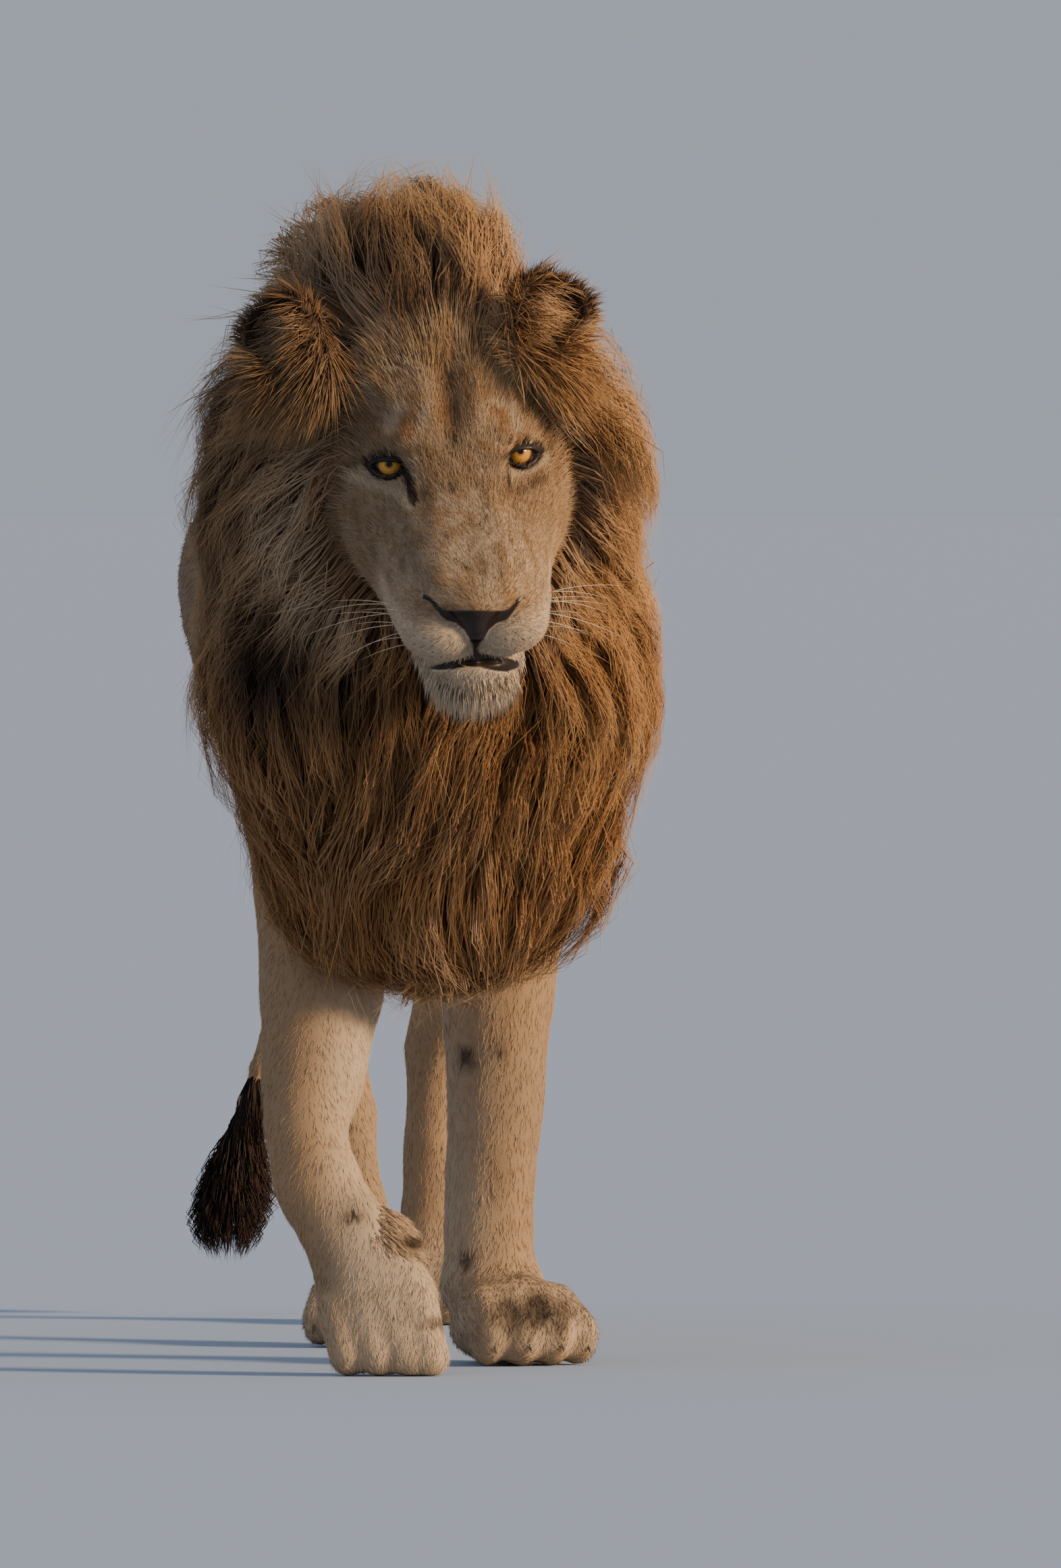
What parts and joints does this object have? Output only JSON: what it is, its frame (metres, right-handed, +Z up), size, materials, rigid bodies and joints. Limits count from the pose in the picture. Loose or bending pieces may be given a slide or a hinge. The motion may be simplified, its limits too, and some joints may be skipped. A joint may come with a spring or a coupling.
{
  "type": "lion (adult male, walking)",
  "caption": "Life-size still model of an adult male lion walking, with a tawny coat and a rust-brown mane.",
  "frame": {"origin": "middle of the bounding box, on the floor under the four paws", "axes": "+Z up; the lion faces -Y, and its own left is +X"},
  "size_m": [0.5068, 2.0138, 1.1999],
  "materials": {
    "face_coat": "very short sandy fur with darker marks",
    "body_coat": "short tawny fur that lies flat",
    "leg_coat": "short pale tawny fur with a few dark spots",
    "mane": "long coarse hair, golden by the face and rust to black-brown on the chest",
    "tuft": "long black-brown hair",
    "eye": "wet amber glass eye with a round black pupil",
    "nose": "dark pebbled nose leather, slightly moist",
    "claw": "dark horn",
    "whisker": "stiff white hair"
  },
  "bodies": {
    "root": {"head": "face_coat", "ear_left": "face_coat", "ear_right": "face_coat", "eye_left": "eye", "eye_right": "eye", "neck": "mane", "trunk": "body_coat", "foreleg_left": "leg_coat", "foreleg_right": "leg_coat", "forepaw_left": "leg_coat", "forepaw_right": "leg_coat", "hindleg_left": "leg_coat", "hindleg_right": "leg_coat", "hindpaw_left": "leg_coat", "hindpaw_right": "leg_coat", "tail_base": "body_coat", "tail_middle": "body_coat", "tail_tuft": "tuft"}
  },
  "joints": []
}
